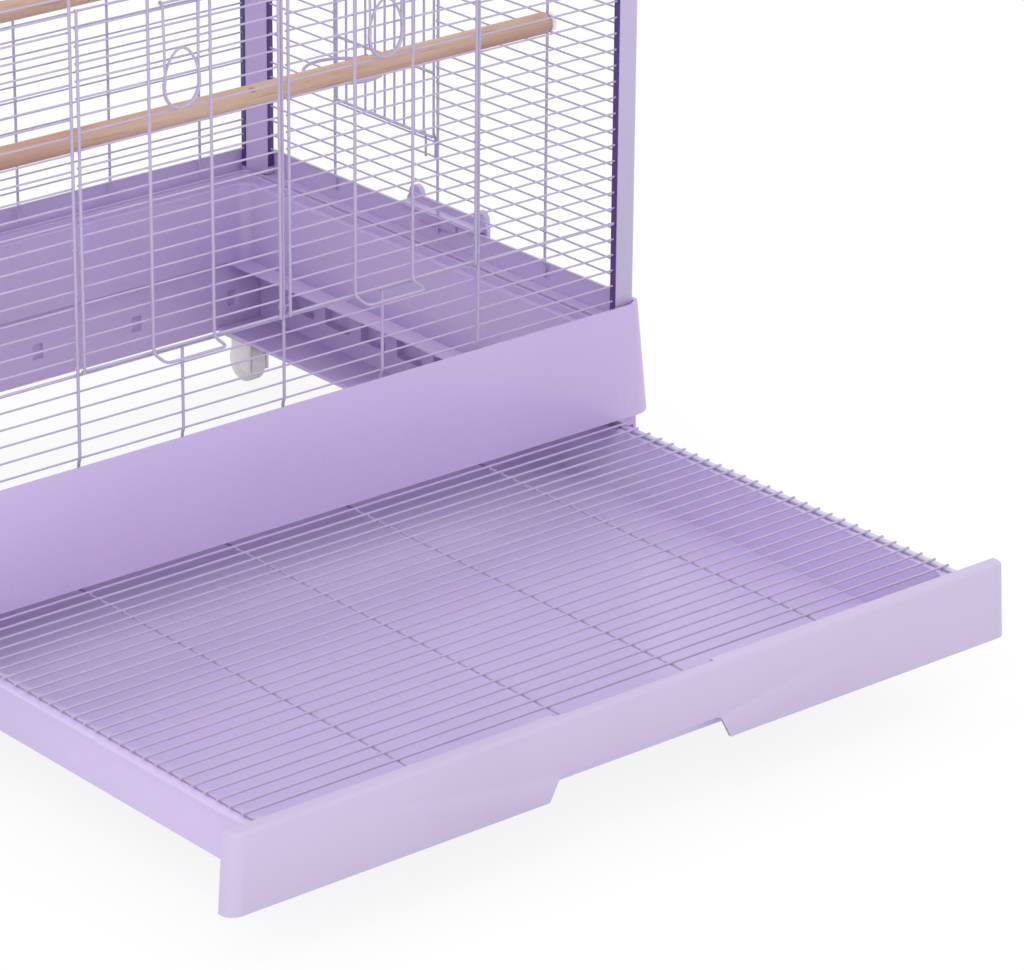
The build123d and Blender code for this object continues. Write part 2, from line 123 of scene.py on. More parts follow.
class Field:
    """A node's output that takes part in arithmetic; each operation adds a Math node."""

    def __init__(self, tree, socket):
        self.tree = tree
        self.socket = socket

    def join(self, operation, first, second):
        """Math node of two fields or numbers."""
        node = self.tree.nodes.new("ShaderNodeMath")
        node.operation = operation
        for slot, value in zip(node.inputs, (first, second)):
            connect(self.tree, slot, value)
        return Field(self.tree, node.outputs[0])

    def __add__(self, other):
        return self.join("ADD", self, other)

    def __radd__(self, other):
        return self.join("ADD", other, self)

    def __mul__(self, other):
        return self.join("MULTIPLY", self, other)

    def __rmul__(self, other):
        return self.join("MULTIPLY", other, self)


def connect(tree, slot, value):
    """Link a field to an input, or set the input to a plain value."""
    if isinstance(value, Field):
        tree.links.new(value.socket, slot)
    elif value is not None:
        slot.default_value = value


class Maker:
    """Adds nodes to one tree."""

    def __init__(self, tree):
        self.tree = tree

    def node(self, kind, settings=None, inputs=None, output=0):
        """One node: its settings first, then the values or links of its sockets."""
        node = self.tree.nodes.new(kind)
        for name, value in (settings or {}).items():
            if name == "stops":
                ramp = node.color_ramp.elements
                while len(ramp) < len(value):
                    ramp.new(0.5)
                for element, (place, colour) in zip(ramp, value):
                    element.position = place
                    element.color = colour
            else:
                setattr(node, name, value)
        for name, value in (inputs or {}).items():
            connect(self.tree, node.inputs[name], value)
        return Field(self.tree, node.outputs[output]) if node.outputs else node


class Finish(Maker):
    """One material with its Principled shader."""

    def __init__(self, name):
        self.material = bpy.data.materials.new(name)
        self.material.use_nodes = True
        super().__init__(self.material.node_tree)
        self.tree.nodes.clear()
        self.place = self.node("ShaderNodeTexCoord", output="Object")

    def noise(self, scale, detail=2.0, stretch=(1, 1, 1), roughness=0.5):
        """Noise of that many features a metre, stretched along the axes."""
        place = self.node("ShaderNodeMapping", inputs={"Vector": self.place, "Scale": stretch})
        return self.node("ShaderNodeTexNoise", inputs={"Vector": place, "Scale": scale, "Detail": detail,
                                                       "Roughness": roughness}, output=0)

    def mix(self, factor, first, second):
        """Colour between two colours."""
        return self.node("ShaderNodeMix", {"data_type": "RGBA"}, {0: factor, 6: first, 7: second}, output=2)

    def ramp(self, factor, *stops):
        """Number that follows a ramp of (place, level) stops."""
        stops = [(place, (level, level, level, 1)) for place, level in stops]
        return self.node("ShaderNodeValToRGB", {"stops": stops}, {"Fac": factor})

    def bump(self, height, distance, strength=1.0, normal=None):
        """Surface relief of that depth in metres."""
        return self.node("ShaderNodeBump", inputs={"Height": height, "Distance": distance,
                                                   "Strength": strength, "Normal": normal})

    def surface(self, **inputs):
        """Principled shader from its socket names, with _ for a space."""
        named = {name.replace("_", " "): value for name, value in inputs.items()}
        shader = self.node("ShaderNodeBsdfPrincipled", inputs=named)
        self.node("ShaderNodeOutputMaterial", inputs={"Surface": shader})
        return self.material


def tinted(colour, factor):
    """A colour made lighter or darker."""
    return tuple(min(1.0, level * factor) for level in colour[:3]) + (1.0,)


def moulded_plastic(name, colour, gloss=0.36, wave=0.00012):
    """Moulded plastic: faint clouding, a fine pebbled skin and shallow sink marks."""
    finish = Finish(name)
    cloud = finish.noise(4.0, 3.0)
    speck = finish.noise(260.0, 2.0)
    tone = finish.ramp(cloud * 0.8 + speck * 0.2, (0.3, 0.0), (0.7, 1.0))
    base = finish.mix(tone, tinted(colour, 0.955), tinted(colour, 1.03))
    rough = gloss - 0.05 + finish.noise(18.0, 4.0) * 0.10
    waves = finish.bump(finish.noise(9.0, 1.0), wave * 6, 0.6)
    skin = finish.bump(finish.noise(1500.0, 2.0), 0.00003, 0.55, waves)
    return finish.surface(Base_Color=base, Roughness=rough, Normal=skin)


def glossy_pan(name, colour):
    """Thin vacuum-formed tray: shiny, with wavy reflections and faint scratches."""
    finish = Finish(name)
    cloud = finish.noise(3.0, 3.0)
    base = finish.mix(cloud, tinted(colour, 0.93), tinted(colour, 1.06))
    scratch = finish.ramp(finish.noise(60.0, 5.0, (1.0, 14.0, 1.0), 0.7), (0.56, 0.0), (0.7, 1.0))
    rough = 0.17 + scratch * 0.12 + cloud * 0.05
    waves = finish.bump(finish.noise(6.0, 2.0, (1.0, 0.5, 1.0)), 0.0022, 0.5)
    skin = finish.bump(finish.noise(900.0, 1.0), 0.00002, 0.3, waves)
    return finish.surface(Base_Color=base, Roughness=rough, Normal=skin)


def coated_wire(name, colour):
    """Powder coat on drawn wire: orange peel and slightly uneven colour."""
    finish = Finish(name)
    cloud = finish.noise(30.0, 3.0)
    base = finish.mix(cloud, tinted(colour, 0.86), tinted(colour, 1.10))
    rough = 0.30 + finish.noise(120.0, 3.0) * 0.16
    peel = finish.bump(finish.noise(1100.0, 2.0), 0.00006, 0.5)
    return finish.surface(Base_Color=base, Roughness=rough, Normal=peel, Coat_Weight=0.15)


def dark_strip(name, colour):
    """Extruded soft strip: fine lines along its length."""
    finish = Finish(name)
    lines = finish.noise(900.0, 2.0, (1.0, 1.0, 0.02))
    base = finish.mix(lines, tinted(colour, 0.8), tinted(colour, 1.25))
    return finish.surface(Base_Color=base, Roughness=0.45 + lines * 0.15,
                          Normal=finish.bump(lines, 0.00008, 0.6))


def dowel_wood(name, pale, dark):
    """Turned beech dowel: long grain, short pores, a few pin knots."""
    finish = Finish(name)
    warp = finish.noise(3.0, 2.0, (1.0, 6.0, 6.0))
    bands = finish.noise(34.0, 3.0, (0.06, 1.0, 1.0), 0.55)
    grain = finish.ramp(bands + warp * 0.35, (0.42, 0.0), (0.62, 0.45), (0.86, 1.0))
    pores = finish.ramp(finish.noise(420.0, 2.0, (0.045, 1.0, 1.0)), (0.55, 0.0), (0.72, 1.0))
    cells = {"Vector": finish.place, "Scale": 26.0, "Randomness": 1.0}
    spot = finish.node("ShaderNodeTexVoronoi", {"feature": "F1"}, cells, output="Distance")
    knot = finish.ramp(spot, (0.0, 1.0), (0.055, 0.75), (0.11, 0.0))
    base = finish.mix(grain * 0.85, pale, dark)
    base = finish.mix(pores * 0.5, base, tinted(dark, 0.72))
    base = finish.mix(knot * 0.7, base, tinted(dark, 0.34))
    relief = finish.bump(pores * 0.6 + grain * 0.4, 0.00015, 0.5)
    return finish.surface(Base_Color=base, Roughness=0.52 + grain * 0.14, Normal=relief)


def plated_steel(name, colour):
    """Zinc plate with a brushed, slightly blotched look."""
    finish = Finish(name)
    brush = finish.noise(700.0, 3.0, (0.05, 1.0, 1.0))
    blotch = finish.noise(60.0, 3.0)
    base = finish.mix(blotch, tinted(colour, 0.85), tinted(colour, 1.1))
    return finish.surface(Base_Color=base, Metallic=1.0, Roughness=0.28 + brush * 0.2,
                          Normal=finish.bump(brush, 0.00003, 0.5))


def finishes():
    """Every material of the cage by its name, made once."""
    if "cage shell" not in bpy.data.materials:
        tint = bpy.context.scene.cage_colours
        moulded_plastic("cage shell", tuple(tint.shell))
        moulded_plastic("post plastic", tuple(tint.post))
        moulded_plastic("tray front", tuple(tint.tray_front), 0.34)
        glossy_pan("tray pan", tuple(tint.tray_pan))
        dark_strip("channel strip", tuple(tint.strip))
        coated_wire("wire coat", tuple(tint.coating))
        dowel_wood("perch wood", tuple(tint.wood), tuple(tint.grain))
        moulded_plastic("caster plastic", tuple(tint.caster), 0.40)
        moulded_plastic("wheel plastic", tinted(tuple(tint.caster), 0.93), 0.52)
        plated_steel("plated steel", tuple(tint.plate))
    return bpy.data.materials


class WireRun:
    """One wire and its copies: points along it, how many, the step between them, its thickness."""

    def __init__(self, points, count=1, step=(0, 0, 0), thick=0.0022, cuts=0, sides=8):
        self.points = [Vector(point) for point in points]
        self.count = count
        self.step = step
        self.thick = thick
        self.cuts = cuts
        self.sides = sides


def tree_input(tree, name, kind, default=None):
    """Named input of a node tree."""
    socket = tree.interface.new_socket(name, in_out="INPUT", socket_type=kind)
    if default is not None:
        socket.default_value = default
    return socket


def wire_tree():
    """Node tree that repeats the object's own line, strays it a little and gives it thickness."""
    if "repeated wire" in bpy.data.node_groups:
        return bpy.data.node_groups["repeated wire"]
    tree = bpy.data.node_groups.new("repeated wire", "GeometryNodeTree")
    tree_input(tree, "Geometry", "NodeSocketGeometry")
    tree_input(tree, "Count", "NodeSocketInt", 1)
    tree_input(tree, "Step", "NodeSocketVector")
    tree_input(tree, "Radius", "NodeSocketFloat", 0.001)
    tree_input(tree, "Cuts", "NodeSocketInt", 0)
    tree_input(tree, "Sides", "NodeSocketInt", 8)
    tree_input(tree, "Wobble", "NodeSocketFloat", 0.0)
    tree_input(tree, "Seed", "NodeSocketFloat", 7.0)
    tree_input(tree, "Material", "NodeSocketMaterial")
    tree.interface.new_socket("Geometry", in_out="OUTPUT", socket_type="NodeSocketGeometry")
    make = Maker(tree)
    entry = tree.nodes.new("NodeGroupInput").outputs

    def given(name):
        return Field(tree, entry[name])

    line = make.node("GeometryNodeMeshToCurve", inputs={"Mesh": given("Geometry")})
    line = make.node("GeometryNodeSubdivideCurve", inputs={"Curve": line, "Cuts": given("Cuts")})
    spots = make.node("GeometryNodeMeshLine", {"mode": "OFFSET"},
                      {"Count": given("Count"), "Offset": given("Step")})
    copies = make.node("GeometryNodeInstanceOnPoints", inputs={"Points": spots, "Instance": line})
    copies = make.node("GeometryNodeRealizeInstances", inputs={"Geometry": copies})
    where = make.node("GeometryNodeInputPosition")
    stray = make.node("ShaderNodeTexNoise", {"noise_dimensions": "4D"},
                      {"Vector": where, "W": given("Seed"), "Scale": 7.0, "Detail": 1.0}, output="Color")
    stray = make.node("ShaderNodeVectorMath", {"operation": "SUBTRACT"}, {0: stray, 1: (0.5, 0.5, 0.5)})
    stray = make.node("ShaderNodeVectorMath", {"operation": "SCALE"}, {0: stray, "Scale": given("Wobble")})
    copies = make.node("GeometryNodeSetPosition", inputs={"Geometry": copies, "Offset": stray})
    section = make.node("GeometryNodeCurvePrimitiveCircle",
                        inputs={"Resolution": given("Sides"), "Radius": given("Radius")})
    solid = make.node("GeometryNodeCurveToMesh",
                      inputs={"Curve": copies, "Profile Curve": section, "Fill Caps": True})
    solid = make.node("GeometryNodeSetShadeSmooth", inputs={"Geometry": solid})
    solid = make.node("GeometryNodeRealizeInstances", inputs={"Geometry": solid})
    solid = make.node("GeometryNodeSetMaterial", inputs={"Geometry": solid, "Material": given("Material")})
    make.node("NodeGroupOutput", inputs={0: solid})
    return tree


def weld_tree():
    """Node tree that sets a small weld bead of random size on each point."""
    if "weld beads" in bpy.data.node_groups:
        return bpy.data.node_groups["weld beads"]
    tree = bpy.data.node_groups.new("weld beads", "GeometryNodeTree")
    tree_input(tree, "Geometry", "NodeSocketGeometry")
    tree_input(tree, "Radius", "NodeSocketFloat", 0.0016)
    tree_input(tree, "Seed", "NodeSocketInt", 3)
    tree_input(tree, "Material", "NodeSocketMaterial")
    tree.interface.new_socket("Geometry", in_out="OUTPUT", socket_type="NodeSocketGeometry")
    make = Maker(tree)
    entry = tree.nodes.new("NodeGroupInput").outputs

    def given(name):
        return Field(tree, entry[name])

    bead = make.node("GeometryNodeMeshIcoSphere", inputs={"Radius": given("Radius"), "Subdivisions": 2})
    size = make.node("FunctionNodeRandomValue", {"data_type": "FLOAT"},
                     {2: 0.86, 3: 1.12, "Seed": given("Seed")}, output=1)
    turn = make.node("FunctionNodeRandomValue", {"data_type": "FLOAT_VECTOR"},
                     {0: (0, 0, 0), 1: (pi, pi, pi), "Seed": given("Seed")}, output=0)
    beads = make.node("GeometryNodeInstanceOnPoints",
                      inputs={"Points": given("Geometry"), "Instance": bead, "Rotation": turn, "Scale": size})
    beads = make.node("GeometryNodeSetShadeSmooth", inputs={"Geometry": beads})
    beads = make.node("GeometryNodeRealizeInstances", inputs={"Geometry": beads})
    beads = make.node("GeometryNodeSetMaterial", inputs={"Geometry": beads, "Material": given("Material")})
    make.node("NodeGroupOutput", inputs={0: beads})
    return tree


def added(name, data):
    """Object of that name, in the scene."""
    item = bpy.data.objects.new(name, data)
    bpy.context.collection.objects.link(item)
    return item


def grown(tree, points, edges, **values):
    """Mesh that a node tree makes from points and edges."""
    mesh = bpy.data.meshes.new("seed")
    mesh.from_pydata([tuple(point) for point in points], edges, [])
    seed = added("seed", mesh)
    modifier = seed.modifiers.new("grow", "NODES")
    modifier.node_group = tree
    for item in tree.interface.items_tree:
        if item.in_out == "INPUT" and item.name in values:
            modifier[item.identifier] = values[item.name]
    graph = bpy.context.evaluated_depsgraph_get()
    result = bpy.data.meshes.new_from_object(seed.evaluated_get(graph))
    seed.modifiers.clear()
    bpy.data.objects.remove(seed)
    bpy.data.meshes.remove(mesh)
    return result


def joined(name, meshes, material):
    """One object from several meshes that share a material."""
    form = bmesh.new()
    for mesh in meshes:
        form.from_mesh(mesh)
        bpy.data.meshes.remove(mesh)
    result = bpy.data.meshes.new(name)
    form.to_mesh(result)
    form.free()
    result.materials.clear()
    result.materials.append(material)
    return added(name, result)


def wire_piece(name, runs, welds=(), seed=7.0, finish="wire coat"):
    """Object made of wire runs and of weld beads where they cross."""
    sizes = bpy.context.scene.cage_sizes
    material = finishes()[finish]
    meshes = []
    for number, run in enumerate(runs):
        edges = [(i, i + 1) for i in range(len(run.points) - 1)]
        meshes.append(grown(wire_tree(), run.points, edges, Count=run.count, Step=run.step,
                            Radius=run.thick / 2, Cuts=run.cuts, Sides=run.sides, Wobble=sizes.wobble,
                            Seed=seed + number, Material=material))
    if welds:
        meshes.append(grown(weld_tree(), welds, [], Radius=sizes.column * 0.56, Material=material))
    return joined(name, meshes, material)


def bend(points, radius, steps=5):
    """Points along a line whose corners are rounded."""
    points = [Vector(point) for point in points]
    route = [points[0]]
    for before, corner, after in zip(points, points[1:], points[2:]):
        back = (before - corner).normalized()
        ahead = (after - corner).normalized()
        reach = min(radius, (before - corner).length / 2, (after - corner).length / 2)
        for i in range(steps + 1):
            t = i / steps
            start, end = corner + back * reach, corner + ahead * reach
            route.append(start.lerp(corner, t).lerp(corner.lerp(end, t), t))
    return route + [points[-1]]


def place_on(piece, body, slot, *nodes):
    """The piece stands for these nodes and moves with their body; the slot is not used."""
    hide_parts(*nodes)
    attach(piece, body)
    return piece


def softened(node, body, slot, finish, width=None, name=None, angle=34):
    """A node's own shape with its sharp edges rounded and a moulded or turned finish."""
    sizes = bpy.context.scene.cage_sizes
    form = bmesh.new()
    form.from_mesh(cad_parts[node].data)
    bmesh.ops.remove_doubles(form, verts=form.verts, dist=0.00002)
    name = name or f"{node}_shell"
    mesh = bpy.data.meshes.new(name)
    form.to_mesh(mesh)
    form.free()
    mesh.materials.clear()
    mesh.materials.append(finishes()[finish])
    piece = added(name, mesh)
    rounding = piece.modifiers.new("rounded edges", "BEVEL")
    rounding.width = sizes.edge if width is None else width
    rounding.segments = 3
    rounding.limit_method = "ANGLE"
    rounding.angle_limit = radians(angle)
    rounding.use_clamp_overlap = True
    rounding.miter_outer = "MITER_ARC"
    graph = bpy.context.evaluated_depsgraph_get()
    final = bpy.data.meshes.new_from_object(piece.evaluated_get(graph))
    piece.modifiers.clear()
    piece.data = final
    final.polygons.foreach_set("use_smooth", [True] * len(final.polygons))
    final.set_sharp_from_angle(angle=radians(40))
    return place_on(piece, body, slot, node)


def rows(count, first=0):
    """Heights of level wires, counted from the lowest."""
    sizes = bpy.context.scene.cage_sizes
    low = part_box("back_grille")[1].z - sizes.wire / 2 - (ROWS - 1) * sizes.pitch
    return [low + (first + i) * sizes.pitch for i in range(count)]


class CAGE_OT_front_wires(bpy.types.Operator):
    """Front wires round the doors, with the door guides"""
    bl_idname = "cage.front_wires"
    bl_label = "Front wires"

    def execute(self, context):
        sizes = context.scene.cage_sizes
        low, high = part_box("front_grille_low")
        plane = (low.y + high.y) / 2
        reach = high.x + PLUG
        uprights = [i * sizes.column_step for i in range(-2, 3)]
        front = plane - (sizes.wire + sizes.column) / 2 + SINK
        bottom, top = rows(ROWS)[0], rows(ROWS)[-1]
        sill = rows(1, FIRST_OPEN_ROW - 1)[0]
        over = rows(1, FIRST_OPEN_ROW + DOOR_ROWS)[0]
        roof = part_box("roof_rim")[0].z - 0.0006
        up = (0, 0, sizes.pitch)
        runs, welds = [], []
        full = [(-reach, plane, bottom), (reach, plane, bottom)]
        runs.append(WireRun(full, FIRST_OPEN_ROW - 1, up, sizes.wire, 14))
        sill_line = [(-reach, plane, sill), (reach, plane, sill)]
        runs.append(WireRun(sill_line, thick=sizes.column * 1.05, cuts=14))
        for side in (-1, 1):
            ends = sorted((side * (uprights[-1] + SINK), side * reach))
            part = [(x, plane, sill + sizes.pitch) for x in ends]
            runs.append(WireRun(part, ROWS - FIRST_OPEN_ROW, up, sizes.wire, 4))
        inner = uprights[-1] - SINK
        part = [(-inner, plane, over), (inner, plane, over)]
        runs.append(WireRun(part, ROWS - FIRST_OPEN_ROW - DOOR_ROWS, up, sizes.wire, 10))
        for x in uprights:
            ends_at = sill if abs(x) == sizes.column_step else roof
            foot = [(x, plane, low.z), (x, plane, bottom - 0.004), (x, front, bottom)]
            runs.append(WireRun(bend(foot + [(x, front, ends_at)], 0.004), thick=sizes.column, cuts=3))
            welds += [(x, (plane + front) / 2, z) for z in rows(FIRST_OPEN_ROW)]
            if ends_at == roof and x:
                welds += [(x, (plane + front) / 2, z) for z in rows(ROWS - FIRST_OPEN_ROW, FIRST_OPEN_ROW)]
        above_doors = rows(ROWS - FIRST_OPEN_ROW - DOOR_ROWS, FIRST_OPEN_ROW + DOOR_ROWS)
        welds += [(0, (plane + front) / 2, z) for z in above_doors]
        piece = wire_piece("front_wires", runs, welds)
        place_on(piece, "cage", "wire", "front_grille_low", "front_grille_left", "front_grille_right",
                 "front_grille_top", "door_guides")
        return {"FINISHED"}


class CAGE_OT_back_wires(bpy.types.Operator):
    """Back wires in one flat panel"""
    bl_idname = "cage.back_wires"
    bl_label = "Back wires"

    def execute(self, context):
        sizes = context.scene.cage_sizes
        low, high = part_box("back_grille")
        plane = (low.y + high.y) / 2
        behind = plane + (sizes.wire + sizes.column) / 2 - SINK
        reach = high.x + PLUG
        uprights = [i * sizes.column_step for i in range(-3, 4)]
        levels = rows(ROWS)
        up = (0, 0, sizes.pitch)
        runs = [WireRun([(-reach, plane, levels[0]), (reach, plane, levels[0])], ROWS, up, sizes.wire, 12)]
        welds = []
        for x in uprights:
            line = [(x, behind, low.z), (x, behind, high.z)]
            runs.append(WireRun(line, thick=sizes.column, cuts=10))
            welds += [(x, (plane + behind) / 2, z) for z in levels]
        piece = wire_piece("back_wires", runs, welds, seed=31.0)
        place_on(piece, "cage", "wire", "back_grille")
        return {"FINISHED"}


class CAGE_OT_side_wires(bpy.types.Operator):
    """Side wires round the feeder openings, with the eyes of the feeder doors"""
    bl_idname = "cage.side_wires"
    bl_label = "Side wires"

    def execute(self, context):
        sizes = context.scene.cage_sizes
        up = (0, 0, sizes.pitch)
        for name, side in SIDES:
            low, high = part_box(f"{name}_grille_low")
            plane = (low.x + high.x) / 2
            outer = plane + side * ((sizes.wire + sizes.column) / 2 - SINK)
            y0, y1 = low.y - PLUG, high.y + PLUG
            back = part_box(f"{name}_grille_back")[0].y + sizes.column / 2
            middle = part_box(f"{name}_grille_front")[1].y - sizes.column / 2
            front = 2 * middle - back
            levels = rows(ROWS)
            opening = levels[FIRST_OPEN_ROW:FIRST_OPEN_ROW + FEEDER_ROWS - 1]
            upper = levels[FIRST_OPEN_ROW + FEEDER_ROWS - 1]
            above = ROWS - FIRST_OPEN_ROW - FEEDER_ROWS + 1
            runs = []
            for z, count in ((levels[0], FIRST_OPEN_ROW), (upper, above)):
                runs.append(WireRun([(plane, y0, z), (plane, y1, z)], count, up, sizes.wire, 9))
            for a, b in ((y0, middle), (back, y1)):
                line = [(plane, a, opening[0]), (plane, b, opening[0])]
                runs.append(WireRun(line, len(opening), up, sizes.wire, 5))
            welds = []
            for y in (front, middle, back):
                line = [(outer, y, low.z), (outer, y, levels[-1] + 0.002)]
                runs.append(WireRun(line, thick=sizes.column, cuts=10))
                welds += [((plane + outer) / 2, y, z) for z in levels]
            piece = wire_piece(f"{name}_side_wires", runs, welds, seed=50.0 + side)
            names = [f"{name}_grille_{part}" for part in ("low", "front", "back", "high")]
            place_on(piece, "cage", "wire", *names)
        return {"FINISHED"}


class CAGE_OT_doors(bpy.types.Operator):
    """Front lift doors: level wires, edge wires, finger lip and the curls round the guides"""
    bl_idname = "cage.doors"
    bl_label = "Lift doors"

    def execute(self, context):
        sizes = context.scene.cage_sizes
        for name, side in SIDES:
            low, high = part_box(f"door_{name}_leaf")
            lip_low, lip_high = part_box(f"door_{name}_lip")
            centre = (low.x + high.x) / 2
            plane = (low.y + high.y) / 2 + 0.0002
            front = plane - (sizes.wire + sizes.column) / 2 + 0.0004
            first = high.z - sizes.wire / 2 - (DOOR_ROWS - 2) * sizes.pitch
            bottom = low.z + sizes.wire / 2
            up = (0, 0, sizes.pitch)
            edge_x = high.x - centre - sizes.column / 2
            inner = lip_high.x - centre - 0.0015
            wide = edge_x + 0.0012
            ends = (centre - wide, centre + wide)
            runs = [WireRun([(x, plane, first) for x in ends], DOOR_ROWS - 1, up, sizes.wire, 7),
                    WireRun([(x, plane, bottom) for x in ends], thick=sizes.column * 0.95, cuts=7)]
            top = high.z + 0.001
            for x in (centre - edge_x, centre + edge_x):
                line = [(x, front, bottom - 0.002), (x, front, top)]
                runs.append(WireRun(line, thick=sizes.column, cuts=8))
            out = lip_low.y + 0.0015
            lip = [(centre - inner, front, top), (centre - inner, front, bottom - 0.001),
                   (centre - inner, out, bottom - 0.004), (centre + inner, out, bottom - 0.004),
                   (centre + inner, front, bottom - 0.001), (centre + inner, front, top)]
            runs.append(WireRun(bend(lip, 0.006), thick=sizes.column, cuts=2))
            welds = []
            for x in (centre - edge_x, centre - inner, centre + inner, centre + edge_x):
                levels = [bottom] + [first + i * sizes.pitch for i in range(DOOR_ROWS - 1)]
                welds += [(x, (plane + front) / 2, z) for z in levels]
            runs += self.curls(name, centre, edge_x, plane, sizes)
            piece = wire_piece(f"door_{name}_wires", runs, welds, seed=70.0 + side)
            nodes = [f"door_{name}_{part}" for part in ("leaf", "lip", "hooks")]
            place_on(piece, f"door_{name}", "wire", *nodes)
        return {"FINISHED"}

    def curls(self, name, centre, edge_x, plane, sizes):
        """Short coils that hold the door to the guide wires beside it."""
        low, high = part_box(f"door_{name}_hooks")
        guide_low, guide_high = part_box("door_guides")
        guide_y = (guide_low.y + guide_high.y) / 2
        radius, last = 0.00265, 14
        runs = []
        for side in (-1, 1):
            guide = centre + side * sizes.column_step
            start = centre + side * edge_x
            for z in (low.z + 0.0012, high.z - 0.0012):
                turns = [(start, plane - 0.002, z + 0.009), (start, plane - 0.0022, z + 0.003)]
                for i in range(last + 1):
                    angle = pi * (1.15 + side * 0.35) + side * i / last * 1.6 * pi
                    turns.append((guide + radius * cos(angle), guide_y + radius * sin(angle),
                                  z + 0.0012 - 0.003 * i / last))
                runs.append(WireRun(turns, thick=0.0018))
        return runs


class CAGE_OT_catches(bpy.types.Operator):
    """Spring wire catches of the doors: one wire in one and a half turns between two legs"""
    bl_idname = "cage.catches"
    bl_label = "Door catches"

    def execute(self, context):
        for name, side in SIDES:
            low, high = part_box(f"door_{name}_catch")
            centre = (low.x + high.x) / 2
            half, tall = 0.0185, 0.026
            eye = low.z + 0.0272
            back, depth = high.y - 0.0012, 0.0026
            top = high.z - 0.0024
            legs = [(centre + half + 0.001, back, top), (centre + half, back, eye + 0.030)]
            turn = []
            steps = 54
            for i in range(steps + 1):
                share = i / steps
                angle = -share * 3 * pi
                wide = half * (0.97 - 0.20 * sin(angle))
                turn.append((centre + wide * cos(angle), back - depth * share, eye + tall * sin(angle)))
            far = back - depth
            after = [(centre - half, far, eye + 0.030), (centre - half - 0.001, far, top)]
            route = legs + turn + after
            bar_z = high.z - FINE_WIRE / 2
            curl = FINE_WIRE * 0.9
            bar = [(low.x, back, bar_z), (high.x, back, bar_z)]
            runs = [WireRun(route, thick=FINE_WIRE, sides=10), WireRun(bar, thick=FINE_WIRE)]
            for x in (centre + half + 0.001, centre - half - 0.001):
                hook = []
                for i in range(11):
                    angle = -pi / 2 - i / 10 * 1.5 * pi
                    hook.append((x, back + curl * cos(angle), bar_z + curl * sin(angle)))
                runs.append(WireRun(hook, thick=0.0016))
            piece = wire_piece(f"door_{name}_spring", runs, seed=90.0 + side)
            place_on(piece, f"catch_{name}", "wire", f"door_{name}_catch")
        return {"FINISHED"}


class CAGE_OT_feeders(bpy.types.Operator):
    """Side feeder doors of upright wires, their hinge eyes and their rings"""
    bl_idname = "cage.feeders"
    bl_label = "Feeder doors"

    def execute(self, context):
        sizes = context.scene.cage_sizes
        for name, side in SIDES:
            low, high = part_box(f"feeder_{name}_leaf")
            eyes_low, eyes_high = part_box("feeder_hinge_eyes")
            panel_low, panel_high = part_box(f"{name}_grille_low")
            plane = (panel_low.x + panel_high.x) / 2
            start, end = low.y + 0.0012, high.y - 0.0012 - 0.0027
            step = (end - start) / (FEEDER_WIRES - 1)
            bottom, top = low.z + 0.0015, high.z - 0.0015
            upright = [(plane, start, bottom), (plane, start, top)]
            runs = [WireRun(upright, FEEDER_WIRES, (0, step, 0), FINE_WIRE, 6)]
            levels = (bottom, bottom + 0.064, top)
            level_x = plane - side * 0.0022
            for z in levels:
                line = [(level_x, start - 0.001, z), (level_x, end + 0.001, z)]
                runs.append(WireRun(line, thick=0.003, cuts=6))
            for i in (0, 1):
                y = start + i * step
                tail = [(plane, y, bottom + 0.004), (plane + side * 0.0026, y, bottom - 0.003),
                        (plane + side * 0.0026, y, bottom - 0.024)]
                runs.append(WireRun(bend(tail, 0.003, 3), thick=FINE_WIRE))
            weld_x = plane - side * 0.0011
            welds = [(weld_x, start + i * step, z) for i in range(FEEDER_WIRES) for z in levels]
            pin_x = side * (abs(low.x if side < 0 else high.x) - 0.0012)
            pin_y = high.y - 0.0012
            for z in (bottom + 0.020, top - 0.020):
                pin = [(plane, end, z - 0.005), (pin_x, pin_y, z - 0.005), (pin_x, pin_y, z + 0.005),
                       (plane, end, z + 0.005)]
                runs.append(WireRun(bend(pin, 0.002, 3), thick=FINE_WIRE))
            ring_low, ring_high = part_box(f"feeder_{name}_ring")
            centre_y = (ring_low.y + ring_high.y) / 2
            inner_x = ring_low.x if side > 0 else ring_high.x
            radius = (ring_high.y - ring_low.y) / 2 - 0.0016
            centre_x = inner_x + side * (radius + 0.0016)
            level = (ring_low.z + ring_high.z) / 2
            angles = [2 * pi * i / 48 for i in range(49)]
            turn = [(centre_x + radius * cos(a), centre_y + radius * sin(a), level) for a in angles]
            runs.append(WireRun(turn, thick=RING_WIRE, sides=10))
            for k in (-1, 1):
                arm = [(centre_x + side * 0.0305, centre_y + k * 0.022, level),
                       (plane - side * 0.003, centre_y + k * 0.022, level)]
                runs.append(WireRun(arm, thick=RING_WIRE, cuts=2, sides=10))
            piece = wire_piece(f"feeder_{name}_wires", runs, welds, seed=110.0 + side)
            place_on(piece, f"feeder_{name}", "wire", f"feeder_{name}_leaf", f"feeder_{name}_ring")
        softened("feeder_hinge_eyes", "cage", "wire", "wire coat", 0.0004, "feeder_eyes")
        return {"FINISHED"}


